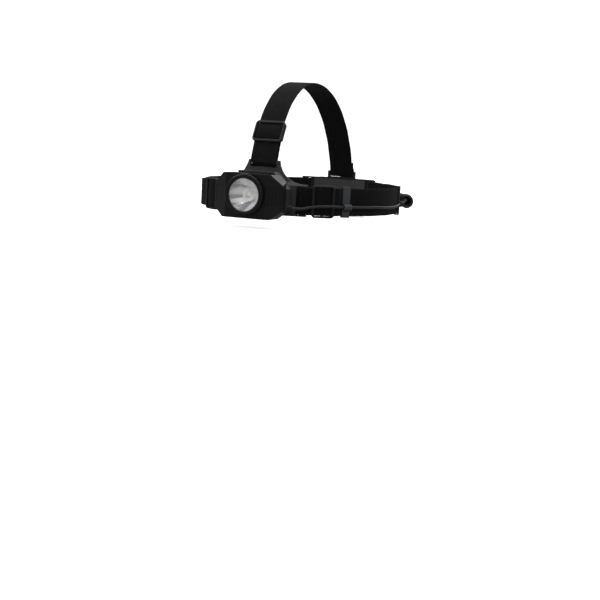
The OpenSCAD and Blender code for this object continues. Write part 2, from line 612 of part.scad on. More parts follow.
// ---- Battery case ----
module rear_disc(r, z0, z1) { translate([0, back_cy, z0]) cylinder(r = r, h = z1 - z0, $fn = big_fn); }
module carrier_face() {
    x = carrier_r*sin(carrier_psi);
    h = slot_h/2 + 1.7;
    block2([-x, -h], [x, h]);
    block2([-slot_h/2 - 3, 0], [slot_h/2 + 3, carrier_top]);
    block2([-case_w/2, case_bottom], [case_w/2, case_top]);
}
tray_z = [case_mid_z - 1.5*cell_pitch - 0.25, case_mid_z + 1.5*cell_pitch + 0.25];
pocket_x = [tray_hw + 2.5, case_w/2 - case_wall];
module battery_case() color("#202124") {
    difference() {
        union() {
            intersection() {
                rear_disc(carrier_r, case_bottom - 5, carrier_top + 5);
                forward(far, back_cy) carrier_face();
            }
            difference() {
                block([-case_w/2, back_cy + 60, case_bottom], [case_w/2, case_y, case_top]);
                rear_disc(carrier_r - 0.5, case_bottom - 5, case_top + 5);
            }
            // Ears for the cover's hinge
            for (s = [-1, 1]) translate([s*23, 0, 0]) upright() linear_extrude(6, center = true) {
                translate(cover_axis) circle(2.4);
                block2([case_y - 6, cover_axis[1] - 2.4], [cover_axis[0], cover_axis[1]]);
                block2([case_y - 6, cover_axis[1] - 2.4], [case_y, case_bottom + 1]);
            }
        }
        rear_disc(carrier_r0, case_bottom - 10, carrier_top + 10);
        // Tray for the cells, and a pocket on each side of it
        block([-tray_hw, tray_floor, tray_z[0]], [tray_hw, case_y + 1, tray_z[1]]);
        for (s = [-1, 1])
            block([min(s*pocket_x[0], s*pocket_x[1]), case_y - 16, -13],
                [max(s*pocket_x[0], s*pocket_x[1]), case_y + 1, 12]);
        // Slots for the straps
        for (s = [-1, 1]) translate([0, back_cy, 0])
            arc_bar(carrier_r0 - 1, carrier_r + 2, -slot_h/2, slot_h/2,
                90 + s*carrier_bar_psi - (s > 0 ? deg(carrier_slot, carrier_r) : 0),
                90 + s*carrier_bar_psi + (s > 0 ? 0 : deg(carrier_slot, carrier_r)));
        block([-slot_h/2, back_cy, top_pass_z], [slot_h/2, far, top_pass_z + top_pass_h]);
        block([-slot_h/2, back_cy, top_pass_z], [slot_h/2, back_cy + carrier_r0, carrier_top + 5]);
        // Bores for the button, the cord's gland and the hinge pin
        bar_x(-case_w/2 - 1, -pocket_x[1] + 1, button_y, button_z, button_r + gap);
        bar_x(pocket_x[1] - 1, case_w/2 + 1, rear_gland[1], rear_gland[2], 3);
        bar_x(-40, 40, cover_axis[0], cover_axis[1], cover_pin_r);
    }
}
module rear_pad() color("#3a3a3c") {
    intersection() {
        difference() {
            rear_disc(carrier_r0, case_bottom + 2, case_top - 1);
            rear_disc(back_r + 0.2, case_bottom, case_top);
        }
        forward(far, back_cy) block2([-34, case_bottom], [34, case_top]);
    }
}
module rear_cord_gland() color("#1d1d1f") {
    gland(pocket_x[1] - 0.6, case_w/2 + 6, rear_gland[1], rear_gland[2], 3);
}
module contact_plate_left() color("silver") {
    block([tray_hw - 0.5, tray_floor, tray_z[0] + 0.5], [tray_hw, case_y - 1, tray_z[1] - 0.5]);
}
module contact_plate_right() color("silver") {
    block([-tray_hw, tray_floor, tray_z[0] + 0.5], [-tray_hw + 0.5, case_y - 1, tray_z[1] - 0.5]);
}
// Each cell's flat end faces a spring; the middle cell is turned round.
spring_l = 2*(tray_hw - 0.5) - cell_l;
cell_end = spring_l - 1.4;                 // room left for a spring once the button's end is seated
function cell_side(i) = i == 0 ? -1 : 1;   // side on which the cell has its button
module contact_springs() color("silver") {
    turns = 3;
    for (i = [-1:1]) {
        s = -cell_side(i);
        tube([for (k = [0:12*turns]) [s*(tray_hw - 0.85 - (cell_end - 0.7)*k/(12*turns)),
            cell_y + (3.4 - 1.4*k/(12*turns))*cos(30*k),
            case_mid_z + i*cell_pitch + (3.4 - 1.4*k/(12*turns))*sin(30*k)]], 0.35, 6, [1, 0, 0]);
    }
}
module cell(i) {
    s = cell_side(i);
    z = case_mid_z + i*cell_pitch;
    x0 = -tray_hw + 0.5 + cell_end;         // flat end, for a cell with its button towards +X
    mirror([s > 0 ? 0 : 1, 0, 0]) {
        bar_x(x0, x0 + cell_l - 0.8, cell_y, z, cell_r);
        bar_x(x0 + cell_l - 1, x0 + cell_l, cell_y, z, 1.9);
    }
}
module cell_top() color("#30343c") { cell(1); }
module cell_middle() color("#30343c") { cell(0); }
module cell_bottom() color("#30343c") { cell(-1); }

wall_in = -pocket_x[1];                     // inner face of the wall that holds the button
module power_button() color("#b3392c") {
    bar_x(-case_w/2 - 1.6, wall_in + 0.6, button_y, button_z, button_r);
    bar_x(wall_in + gap, wall_in + 1.2, button_y, button_z, button_r + 1.2);
}
module switch_body() color("#202020") {
    block([-pocket_x[0] - 2.9, button_y - 3, button_z - 3], [-pocket_x[0] - 0.9, button_y + 3, button_z + 3]);
    bar_x(-pocket_x[0] - 3.4, -pocket_x[0] - 2.9, button_y, button_z, 1.6);
}
module switch_board() color("#1f5b38") {
    block([-pocket_x[0] - 0.9, button_y - 6.5, button_z - 9], [-pocket_x[0], button_y + 6.5, button_z + 9]);
}
module cover_seal() color("#151515") {
    difference() {
        block([-case_w/2 + 0.3, case_y, case_bottom + 0.3], [case_w/2 - 0.3, cover_y, case_top - 0.3]);
        block([-case_w/2 + 1.8, case_y - 1, case_bottom + 1.8], [case_w/2 - 1.8, cover_y + 1, case_top - 1.8]);
    }
}
module battery_cover() color("#202124") {
    knuckle_l = 19.6;
    difference() {
        union() {
            block([-case_w/2, cover_y, case_bottom], [case_w/2, cover_y + cover_t, case_top]);
            block([-24, cover_y + cover_t, case_bottom + 6], [24, cover_y + cover_t + 1, case_top - 6]);
            // Thumb tab over the top edge
            block([-9, cover_y, case_top], [9, cover_y + cover_t, case_top + 2]);
            upright() linear_extrude(2*knuckle_l, center = true) {
                translate(cover_axis) circle(2.4);
                block2([cover_y, cover_axis[1]], [cover_y + cover_t, case_bottom + 0.5]);
            }
        }
        block([-tray_hw, cover_y - 1, tray_z[0]], [tray_hw, cover_y + 1, tray_z[1]]);
        bar_x(-40, 40, cover_axis[0], cover_axis[1], cover_pin_r + 0.05);
        for (i = [-3:3]) block([-20, cover_y + cover_t + 0.4, case_mid_z + 3.4*i - 0.6],
            [20, cover_y + cover_t + 2, case_mid_z + 3.4*i + 0.6]);
    }
}
module cover_hinge_pin() color("silver") { bar_x(-26, 26, cover_axis[0], cover_axis[1], cover_pin_r); }

front_bracket();
bracket_pad();
lamp_hinge_pin();
front_cord_gland();
lamp_housing();
lamp_back();
lamp_back_seal();
lamp_screws();
lens_ring();
lens();
lens_seal();
reflector();
led_emitter();
led_holder();
led_board();
heat_sink();
driver_board();
lamp_grommet();
side_strap_left();
side_strap_right();
crown_strap();
side_adjuster_left();
side_adjuster_right();
crown_adjuster();
cord_clip_front();
cord_clip_rear();
lamp_cord();
curly_cord();
battery_lead();
battery_case();
rear_pad();
rear_cord_gland();
contact_plate_left();
contact_plate_right();
contact_springs();
cell_top();
cell_middle();
cell_bottom();
power_button();
switch_board();
switch_body();
cover_seal();
battery_cover();
cover_hinge_pin();
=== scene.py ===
import math

import bmesh
import bpy
from mathutils import Matrix, Vector, noise


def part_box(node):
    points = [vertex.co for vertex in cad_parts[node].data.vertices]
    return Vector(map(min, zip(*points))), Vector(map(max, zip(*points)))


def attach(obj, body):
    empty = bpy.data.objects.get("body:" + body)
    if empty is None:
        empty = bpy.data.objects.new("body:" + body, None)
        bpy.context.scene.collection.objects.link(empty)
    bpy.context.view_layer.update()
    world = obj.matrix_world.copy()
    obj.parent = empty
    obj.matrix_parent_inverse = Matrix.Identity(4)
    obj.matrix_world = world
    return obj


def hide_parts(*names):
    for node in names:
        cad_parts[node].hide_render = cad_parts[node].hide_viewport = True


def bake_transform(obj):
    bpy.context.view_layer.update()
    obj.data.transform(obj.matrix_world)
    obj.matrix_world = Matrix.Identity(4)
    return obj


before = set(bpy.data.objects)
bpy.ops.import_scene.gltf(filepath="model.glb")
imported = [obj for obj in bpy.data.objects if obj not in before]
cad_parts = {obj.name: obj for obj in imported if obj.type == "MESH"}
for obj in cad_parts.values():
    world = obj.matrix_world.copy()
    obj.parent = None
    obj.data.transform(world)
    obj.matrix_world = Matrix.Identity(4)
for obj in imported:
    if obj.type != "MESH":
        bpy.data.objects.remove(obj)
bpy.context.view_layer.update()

MM = 0.001
SEGMENTS = 96
GROOVED_CORNERS = 24                            # the battery cover's grooved panel has more than this

# Sizes of the webbing, in millimetres, as the CAD has them
WEB_W, WEB_T = 30.0, 1.6
LOOP_R, SIDE_C, SIDE_R, SIDE_A = 109.5, 55.5, 165.0, 18.43
BACK_CY, BACK_R = 18.503, 106.497
IN_MID, PLATE_MID, OUT_MID = 0.8, 3.0, 5.2      # middle of each layer, outward from the helmet
FOLD_PHI = 22.37                                # inner edge of the bracket's side bars
SIDE_ADJ_PHI = 35.4
CROWN_C1, CROWN_BASE = (18.88, 10.19), 124.0
CROWN_C2, CROWN_C3 = (-6.86, 31.79), (-6.86, -8.0)
CROWN_ADJ = 90 + 61.8


# ---------------------------------------------------------------- camera

def place_camera():
    turn, lift, roll = (math.radians(a) for a in (23.04, 8.285, 3.016))
    back = Vector((math.sin(turn)*math.cos(lift), -math.cos(turn)*math.cos(lift), math.sin(lift)))
    level = Vector((math.cos(turn), math.sin(turn), 0))
    up = back.cross(level)
    right = math.cos(roll)*level + math.sin(roll)*up
    up = back.cross(right)
    data = bpy.data.cameras.new("view")
    data.sensor_width, data.lens = 36, 71.84
    data.clip_start, data.clip_end = 0.05, 60
    camera = bpy.data.objects.new("view", data)
    bpy.context.scene.collection.objects.link(camera)
    turned = Matrix((right, up, back)).transposed().to_4x4()
    camera.matrix_world = Matrix.Translation((0.5506, -1.2804, 0.0796)) @ turned
    bpy.context.scene.camera = camera


place_camera()


# ---------------------------------------------------------------- node groups and finishes

def group(name, inputs, outputs):
    """New shader group: inputs and outputs are (name, kind, default)."""
    tree = bpy.data.node_groups.new(name, "ShaderNodeTree")
    for label, kind, value in inputs:
        socket = tree.interface.new_socket(label, in_out="INPUT", socket_type="NodeSocket" + kind)
        socket.default_value = value
    for label, kind in outputs:
        tree.interface.new_socket(label, in_out="OUTPUT", socket_type="NodeSocket" + kind)
    return tree, tree.nodes.new("NodeGroupInput"), tree.nodes.new("NodeGroupOutput")


def put(tree, kind, settings=None, **sockets):
    """Node of that kind. settings are attributes, sockets are values or links by name or index."""
    n = tree.nodes.new("ShaderNode" + kind)
    for key, value in (settings or {}).items():
        setattr(n, key, value)
    for key, value in sockets.items():
        socket = n.inputs[int(key[1:])] if key[0] == "_" else n.inputs[key.replace("_", " ")]
        if isinstance(value, bpy.types.NodeSocket):
            tree.links.new(value, socket)
        else:
            socket.default_value = value
    return n


def maths(tree, operation, a, b=0.0, clamp=False):
    return put(tree, "Math", {"operation": operation, "use_clamp": clamp}, _0=a, _1=b).outputs[0]


def between(tree, value, low, high, to_low=0.0, to_high=1.0):
    return put(tree, "MapRange", {}, Value=value, From_Min=low, From_Max=high,
               To_Min=to_low, To_Max=to_high).outputs[0]


def mix(tree, share, a, b):
    """Mix of two colours."""
    return put(tree, "Mix", {"data_type": "RGBA"}, _0=share, _6=a, _7=b).outputs[2]


def moulded_group():
    """Moulded plastic or rubber: fine spark-eroded grain, cloudy gloss, rubbed edges and settled dust."""
    t, i, o = group("Moulded surface",
                    [("Colour", "Color", (0.02, 0.02, 0.02, 1)),
                     ("Worn colour", "Color", (0.08, 0.08, 0.08, 1)),
                     ("Gloss", "Float", 0.4), ("Grain pitch", "Float", 0.5), ("Wear", "Float", 0.4),
                     ("Dust", "Float", 0.1)],
                    [("Colour", "Color"), ("Roughness", "Float"), ("Height", "Float")])
    place = put(t, "TexCoord").outputs["Object"]
    pitch = maths(t, "DIVIDE", 1000.0, i.outputs["Grain pitch"])
    grain = put(t, "TexNoise", {}, Vector=place, Scale=pitch, Detail=2.0, Roughness=0.6).outputs["Fac"]
    clouds = put(t, "TexNoise", {}, Vector=place, Scale=70.0, Detail=4.0, Roughness=0.65).outputs["Fac"]
    specks = put(t, "TexNoise", {}, Vector=place, Scale=420.0, Detail=3.0, Roughness=0.7).outputs["Fac"]
    geometry = put(t, "NewGeometry")
    edge = between(t, geometry.outputs["Pointiness"], 0.515, 0.57)
    worn = maths(t, "MULTIPLY", edge, between(t, specks, 0.42, 0.62))
    worn = maths(t, "MULTIPLY", worn, i.outputs["Wear"], True)
    colour = mix(t, maths(t, "MULTIPLY", worn, 1.0, True), i.outputs["Colour"], i.outputs["Worn colour"])
    shade = between(t, clouds, 0.25, 0.75, 0.82, 1.2)
    colour = put(t, "HueSaturation", {}, Color=colour, Value=shade).outputs["Color"]
    facing = put(t, "SeparateXYZ", {}, Vector=geometry.outputs["Normal"]).outputs["Z"]
    settled = maths(t, "MULTIPLY", between(t, facing, 0.2, 0.95), between(t, clouds, 0.42, 0.7))
    hollow = between(t, geometry.outputs["Pointiness"], 0.495, 0.44)
    settled = maths(t, "MAXIMUM", settled, maths(t, "MULTIPLY", hollow, specks))
    settled = maths(t, "MULTIPLY", settled, i.outputs["Dust"], True)
    colour = mix(t, settled, colour, (0.23, 0.21, 0.19, 1))
    rough = maths(t, "ADD", i.outputs["Gloss"], between(t, clouds, 0.3, 0.7, -0.05, 0.07))
    rough = maths(t, "ADD", rough, maths(t, "MULTIPLY", settled, 0.5))
    rough = maths(t, "SUBTRACT", rough, maths(t, "MULTIPLY", worn, 0.08), True)
    t.links.new(colour, o.inputs["Colour"])
    t.links.new(rough, o.inputs["Roughness"])
    t.links.new(grain, o.inputs["Height"])
    return t


def woven_group():
    """Elastic webbing: columns of warp threads, weft picks across them, a tighter selvedge and lint, with a
    painted highlight on the raised thread crowns.
    """
    t, i, o = group("Woven webbing",
                    [("Yarn", "Color", (0.02, 0.02, 0.02, 1)), ("Lit yarn", "Color", (0.05, 0.05, 0.05, 1)),
                     ("Column pitch", "Float", 1.5), ("Pick pitch", "Float", 1.0),
                     ("Half width", "Float", 15.0)],
                    [("Colour", "Color"), ("Roughness", "Float"), ("Height", "Float")])
    along_across = put(t, "SeparateXYZ", {}, Vector=put(t, "UVMap", {"uv_map": "weave"}).outputs["UV"])
    along = maths(t, "MULTIPLY", along_across.outputs["X"], 1000.0)
    across = maths(t, "MULTIPLY", along_across.outputs["Y"], 1000.0)
    column = maths(t, "DIVIDE", across, i.outputs["Column pitch"])
    odd = maths(t, "MULTIPLY", maths(t, "PINGPONG", maths(t, "FLOOR", column), 1.0), 0.5)
    pick = maths(t, "ADD", maths(t, "DIVIDE", along, i.outputs["Pick pitch"]), odd)
    ridge = maths(t, "ABSOLUTE", maths(t, "SINE", maths(t, "MULTIPLY", column, math.pi)))
    knot = maths(t, "ABSOLUTE", maths(t, "SINE", maths(t, "MULTIPLY", pick, math.pi)))
    height = maths(t, "MULTIPLY", maths(t, "POWER", ridge, 0.6), maths(t, "POWER", knot, 0.7))
    edge = between(t, maths(t, "ABSOLUTE", across), maths(t, "SUBTRACT", i.outputs["Half width"], 2.2),
                   maths(t, "SUBTRACT", i.outputs["Half width"], 1.9))
    twill = maths(t, "ABSOLUTE", maths(t, "SINE", maths(t, "MULTIPLY", maths(t, "ADD", along, across), 2.6)))
    height = put(t, "Mix", {"data_type": "FLOAT"}, _0=edge, _2=height, _3=twill).outputs[0]
    place = put(t, "TexCoord").outputs["Object"]
    fibres = put(t, "TexNoise", {}, Vector=place, Scale=2600.0, Detail=2.0, Roughness=0.7).outputs["Fac"]
    clouds = put(t, "TexNoise", {}, Vector=place, Scale=45.0, Detail=3.0, Roughness=0.6).outputs["Fac"]
    # painted highlight: the raised crowns of the threads take the lighter Lit yarn colour, standing in for
    # light falling on them
    lit = maths(t, "MULTIPLY", between(t, height, 0.35, 1.0), between(t, fibres, 0.3, 0.75))
    colour = mix(t, maths(t, "MULTIPLY", lit, 1.0, True), i.outputs["Yarn"], i.outputs["Lit yarn"])
    colour = put(t, "HueSaturation", {}, Color=colour,
                 Value=between(t, clouds, 0.3, 0.7, 0.8, 1.25)).outputs["Color"]
    lint = maths(t, "GREATER_THAN", put(t, "TexNoise", {}, Vector=place, Scale=900.0,
                                        Detail=1.0).outputs["Fac"], 0.765)
    colour = mix(t, maths(t, "MULTIPLY", lint, 0.25), colour, (0.3, 0.3, 0.3, 1))
    t.links.new(colour, o.inputs["Colour"])
    t.links.new(between(t, fibres, 0.2, 0.8, 0.72, 0.95), o.inputs["Roughness"])
    t.links.new(maths(t, "ADD", height, maths(t, "MULTIPLY", fibres, 0.35)), o.inputs["Height"])
    return t


def metal_group():
    """Drawn or turned metal: fine lines along one way and dulled patches."""
    t, i, o = group("Worked metal",
                    [("Colour", "Color", (0.6, 0.6, 0.6, 1)),
                     ("Dulled colour", "Color", (0.35, 0.34, 0.32, 1)),
                     ("Gloss", "Float", 0.25), ("Stretch", "Vector", (20, 900, 900))],
                    [("Colour", "Color"), ("Roughness", "Float"), ("Height", "Float")])
    place = put(t, "TexCoord").outputs["Object"]
    drawn = put(t, "VectorMath", {"operation": "MULTIPLY"}, _0=place, _1=i.outputs["Stretch"]).outputs[0]
    lines = put(t, "TexNoise", {}, Vector=drawn, Scale=1.0, Detail=4.0, Roughness=0.6).outputs["Fac"]
    clouds = put(t, "TexNoise", {}, Vector=place, Scale=260.0, Detail=4.0, Roughness=0.6).outputs["Fac"]
    dulled = between(t, clouds, 0.52, 0.78)
    t.links.new(mix(t, dulled, i.outputs["Colour"], i.outputs["Dulled colour"]), o.inputs["Colour"])
    rough = maths(t, "ADD", i.outputs["Gloss"], between(t, clouds, 0.35, 0.7, -0.04, 0.12))
    t.links.new(maths(t, "ADD", rough, maths(t, "MULTIPLY", lines, 0.06), True), o.inputs["Roughness"])
    t.links.new(lines, o.inputs["Height"])
    return t


def foam_group():
    """Open-cell foam with a soft skin, its pores bumped in and darkened with painted shade."""
    t, i, o = group("Foam", [("Colour", "Color", (0.04, 0.04, 0.04, 1)),
                             ("Pore", "Color", (0.008, 0.008, 0.008, 1)),
                             ("Pore pitch", "Float", 0.7)],
                    [("Colour", "Color"), ("Roughness", "Float"), ("Height", "Float")])
    place = put(t, "TexCoord").outputs["Object"]
    cells = put(t, "TexVoronoi", {}, Vector=place,
                Scale=maths(t, "DIVIDE", 1000.0, i.outputs["Pore pitch"])).outputs["Distance"]
    clouds = put(t, "TexNoise", {}, Vector=place, Scale=120.0, Detail=3.0).outputs["Fac"]
    # painted shade: the pores are coloured darker, standing in for the shade inside them
    t.links.new(mix(t, between(t, cells, 0.15, 0.5), i.outputs["Pore"], i.outputs["Colour"]),
                o.inputs["Colour"])
    t.links.new(between(t, clouds, 0.3, 0.7, 0.85, 1.0), o.inputs["Roughness"])
    t.links.new(cells, o.inputs["Height"])
    return t


MOULDED, WOVEN, METAL, FOAM = moulded_group(), woven_group(), metal_group(), foam_group()


def finish(name, base, values, depth=0.05, plain=None):
    """Material called name: a base group's values, bumped by depth millimetres, and plain shader settings."""
    m = bpy.data.materials.new(name)
    m.use_nodes = True
    t = m.node_tree
    shader = t.nodes["Principled BSDF"]
    surface = t.nodes.new("ShaderNodeGroup")
    surface.node_tree = base
    for key, value in values.items():
        surface.inputs[key].default_value = value
    t.links.new(surface.outputs["Colour"], shader.inputs["Base Color"])
    t.links.new(surface.outputs["Roughness"], shader.inputs["Roughness"])
    bump = put(t, "Bump", {}, Strength=1.0, Distance=depth*MM, Height=surface.outputs["Height"])
    t.links.new(bump.outputs["Normal"], shader.inputs["Normal"])
    for key, value in (plain or {}).items():
        shader.inputs[key].default_value = value
    return m


def grey(v, tint=(1.0, 1.0, 1.0)):
    return (v*tint[0], v*tint[1], v*tint[2], 1)


COOL = (0.95, 1.0, 1.06)


def moulded(name, base, worn, gloss, pitch=0.45, depth=0.02, wear=0.35, dust=0.05, plain=None):
    return finish(name, MOULDED, {"Colour": base, "Worn colour": worn, "Gloss": gloss, "Grain pitch": pitch,
                                  "Wear": wear, "Dust": dust}, depth,
                                  {"Specular IOR Level": 0.3, **(plain or {})})


def metal(name, colour, dulled, gloss, stretch=(20, 900, 900), depth=0.004):
    inputs = {"Colour": colour, "Dulled colour": dulled, "Gloss": gloss, "Stretch": stretch}
    return finish(name, METAL, inputs, depth, {"Metallic": 1.0})


FINISH = {
    "bracket_plastic": moulded("Bracket plastic", grey(0.024, COOL), grey(0.06), 0.5, 0.5, 0.03),
    "lamp_plastic": moulded("Lamp plastic", grey(0.003, COOL), grey(0.02), 0.4, 0.4, 0.014),
    "adjuster_plastic": moulded("Adjuster plastic", grey(0.006, COOL), grey(0.03), 0.38, 0.4, 0.012),
    "grey_plastic": moulded("Grey clip plastic", grey(0.04, COOL), grey(0.07), 0.5, 0.5, 0.02),
    "dark_grey_plastic": moulded("Dark clip plastic", grey(0.014), grey(0.05), 0.5, 0.5, 0.02),
    "case_plastic": moulded("Case plastic", grey(0.008, COOL), grey(0.04), 0.48, 0.7, 0.05),
    "black_plastic": moulded("Switch plastic", grey(0.015), grey(0.06), 0.4, 0.4, 0.01),
    "rubber": moulded("Rubber", grey(0.012), grey(0.03), 0.72, 0.6, 0.03, 0.3, 0.12),
    "button_rubber": moulded("Button rubber", (0.42, 0.035, 0.022, 1), (0.5, 0.1, 0.08, 1),
                             0.6, 0.5, 0.02, 0.4, 0.1),
    "cord_jacket": moulded("Cord jacket", grey(0.016), grey(0.05), 0.42, 0.9, 0.015, 0.15, 0.05),
    "white_plastic": moulded("White holder", grey(0.86), grey(0.9), 0.35, 0.5, 0.004, 0.1, 0.0),
    "board_white": moulded("White board", grey(0.72), grey(0.8), 0.4, 0.6, 0.004, 0.1, 0.0),
    "board_green": moulded("Green board", (0.012, 0.11, 0.045, 1), (0.05, 0.2, 0.1, 1),
                           0.35, 0.8, 0.01, 0.2, 0.02),
    "cell_wrap": moulded("Cell wrap", (0.02, 0.035, 0.075, 1), grey(0.2), 0.22, 3.0, 0.01, 0.2, 0.0),
    "foam": finish("Foam", FOAM, {"Colour": grey(0.045)}, 0.12),
    "webbing": finish("Black webbing", WOVEN, {"Yarn": grey(0.0025, COOL), "Lit yarn": grey(0.012, COOL)},
                      0.16, {"Sheen Weight": 0.02, "Specular IOR Level": 0.12}),
    "steel": metal("Steel", grey(0.55), grey(0.34), 0.24),
    "nickel": metal("Nickel plate", grey(0.66, (1.0, 0.97, 0.92)), grey(0.5), 0.2),
    "aluminium": metal("Aluminium", grey(0.72), grey(0.55), 0.38, (900, 900, 60), 0.01),
    "reflector_metal": metal("Reflector metal", grey(0.96), grey(0.92), 0.1, (300, 300, 300), 0.0006),
    "led": moulded("Emitter", (0.85, 0.84, 0.76, 1), (0.85, 0.84, 0.78, 1), 0.3, 0.25, 0.01, 0.0, 0.0),
}
THREAD = moulded("Stitching thread", grey(0.03), grey(0.06), 0.8, 0.15, 0.03, 0.0, 0.05)


def lens_finish():
    m = bpy.data.materials.new("Clear lens")
    m.use_nodes = True
    t = m.node_tree
    shader = t.nodes["Principled BSDF"]
    smears = put(t, "TexNoise", {}, Vector=put(t, "TexCoord").outputs["Object"], Scale=160.0, Detail=3.0)
    t.links.new(between(t, smears.outputs["Fac"], 0.4, 0.75, 0.02, 0.07), shader.inputs["Roughness"])
    shader.inputs["Base Color"].default_value = (0.95, 0.97, 1, 1)
    shader.inputs["Alpha"].default_value = 0.06
    return m


FINISH["clear_lens"] = lens_finish()


# ---------------------------------------------------------------- making pieces

def settle(obj, slot, body, *nodes, material=None):
    """obj takes its finish, rides on its body and stands for those CAD nodes."""
    obj.data.materials.clear()
    obj.data.materials.append(material or FINISH[slot])
    if body:
        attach(obj, body)
    if nodes:
        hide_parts(*nodes)
    return obj


def piece(name, points, faces, uvs=None, sharp=35):
    """New object from points in millimetres."""
    mesh = bpy.data.meshes.new(name)
    mesh.from_pydata([Vector(p)*MM for p in points], [], faces)
    if uvs:
        layer = mesh.uv_layers.new(name="weave")
        layer.data.foreach_set("uv", [c*MM for f in mesh.polygons for v in f.vertices for c in uvs[v]])
    bm = bmesh.new()
    bm.from_mesh(mesh)
    bmesh.ops.recalc_face_normals(bm, faces=bm.faces)
    bm.to_mesh(mesh)
    bm.free()
    mesh.shade_smooth()
    mesh.set_sharp_from_angle(angle=math.radians(sharp))
    obj = bpy.data.objects.new(name, mesh)
    bpy.context.scene.collection.objects.link(obj)
    return obj


def rounded(obj, radius, segments=2, angle=28):
    """Rounds the edges by radius millimetres."""
    bevel = obj.modifiers.new("rounding", "BEVEL")
    bevel.width, bevel.segments = radius*MM, segments
    bevel.limit_method, bevel.angle_limit = "ANGLE", math.radians(angle)
    bevel.use_clamp_overlap = True
    bevel.miter_outer = "MITER_ARC"
    weighted = obj.modifiers.new("even shading", "WEIGHTED_NORMAL")
    weighted.keep_sharp = True
    return obj


def dressed(node, name, radius, segments=2, most_corners=None):
    """Copy of a CAD node's shape with its faces joined and its edges rounded. Flat faces with more corners
    than most_corners are cut into triangles, for those that several grooves pierce."""
    mesh = bpy.data.meshes.new(name)
    bm = bmesh.new()
    bm.from_mesh(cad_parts[node].data)
    bmesh.ops.remove_doubles(bm, verts=bm.verts, dist=2e-6)
    bmesh.ops.dissolve_limit(bm, angle_limit=math.radians(0.8), verts=bm.verts[:], edges=bm.edges[:])
    if most_corners:
        pierced = [f for f in bm.faces if len(f.verts) > most_corners]
        bmesh.ops.triangulate(bm, faces=pierced, ngon_method="BEAUTY")
    bm.to_mesh(mesh)
    bm.free()
    mesh.shade_smooth()
    mesh.set_sharp_from_angle(angle=math.radians(28))
    obj = bpy.data.objects.new(name, mesh)
    bpy.context.scene.collection.objects.link(obj)
    return rounded(obj, radius, segments)


def fixed(obj):
    """Applies obj's modifiers."""
    graph = bpy.context.evaluated_depsgraph_get()
    mesh = bpy.data.meshes.new_from_object(obj.evaluated_get(graph))
    obj.modifiers.clear()
    obj.data = mesh
    return obj


def rings_to_faces(rows, n, closed_rows=False, caps=True):
    """Faces between rows of n points, each row a closed ring."""
    faces = []
    for i in range(rows if closed_rows else rows - 1):
        j = (i + 1) % rows
        faces += [(i*n + k, i*n + (k + 1) % n, j*n + (k + 1) % n, j*n + k) for k in range(n)]
    if caps and not closed_rows:
        faces += [tuple(range(n))[::-1], tuple((rows - 1)*n + k for k in range(n))]
    return faces


def lathe(name, profile, centre, axis, closed=True, steps=SEGMENTS, sharp=35):
    """Turned piece: profile of (radius, distance along axis) about axis through centre."""
    axis = Vector(axis).normalized()
    side = axis.orthogonal().normalized()
    other = axis.cross(side)
    points = [Vector(centre) + axis*h + r*(math.cos(a)*side + math.sin(a)*other)
              for a in (2*math.pi*k/steps for k in range(steps)) for r, h in profile]
    n = len(profile)
    faces = []
    for i in range(steps):
        j = (i + 1) % steps
        for k in range(n if closed else n - 1):
            m = (k + 1) % n
            loop = [i*n + k, i*n + m, j*n + m, j*n + k]
            if profile[k][0] < 1e-6:
                loop.remove(j*n + k)
            if profile[m][0] < 1e-6:
                loop.remove(j*n + m)
            if len(loop) > 2:
                faces.append(tuple(loop))
    obj = piece(name, points, faces, sharp=sharp)
    bm = bmesh.new()
    bm.from_mesh(obj.data)
    bmesh.ops.remove_doubles(bm, verts=bm.verts, dist=1e-7)
    bmesh.ops.delete(bm, geom=[v for v in bm.verts if not v.link_faces], context="VERTS")
    bmesh.ops.recalc_face_normals(bm, faces=bm.faces)
    bm.to_mesh(obj.data)
    bm.free()
    return obj


def smooth_route(points, step=1.2):
    """Points every step millimetres along a smooth curve through the given ones."""
    p = [Vector(q) for q in points]
    p = [2*p[0] - p[1]] + p + [2*p[-1] - p[-2]]
    fine = []
    for a, b, c, d in zip(p, p[1:], p[2:], p[3:]):
        n = max(2, int((c - b).length/step*2))
        for k in range(n):
            t = k/n
            fine.append(0.5*(2*b + (c - a)*t + (2*a - 5*b + 4*c - d)*t*t + (3*b - a - 3*c + d)*t**3))
    fine.append(p[-2])
    return resampled(fine, step)


def resampled(points, step):
    """The same line with evenly spaced points."""
    lengths = [0.0]
    for a, b in zip(points, points[1:]):
        lengths.append(lengths[-1] + (b - a).length)
    count = max(2, round(lengths[-1]/step))
    out, j = [], 0
    for k in range(count + 1):
        s = lengths[-1]*k/count
        while j < len(points) - 2 and lengths[j + 1] < s:
            j += 1
        span = lengths[j + 1] - lengths[j]
        out.append(points[j].lerp(points[j + 1], 0 if span < 1e-9 else min(1, max(0, (s - lengths[j])/span))))
    return out


def headings(route):
    """Direction of a route at each of its points."""
    last = len(route) - 1
    return [(route[min(i + 1, last)] - route[max(i - 1, 0)]).normalized() for i in range(last + 1)]


def cord_tube(name, route, radius, sides=14):
    """Round cord along a route, with its section carried without twist and its ends closed flat."""
    heads = headings(route)
    side = heads[0].orthogonal().normalized()
    rows = []
    for p, h in zip(route, heads):
        side = (side - h*side.dot(h)).normalized()
        rows.append((p, side, h.cross(side)))
    points = [p + radius*(math.cos(a)*s + math.sin(a)*u) for p, s, u in rows
              for a in (2*math.pi*k/sides for k in range(sides))]
    return piece(name, points, rings_to_faces(len(rows), sides), sharp=60)


# ---------------------------------------------------------------- cord

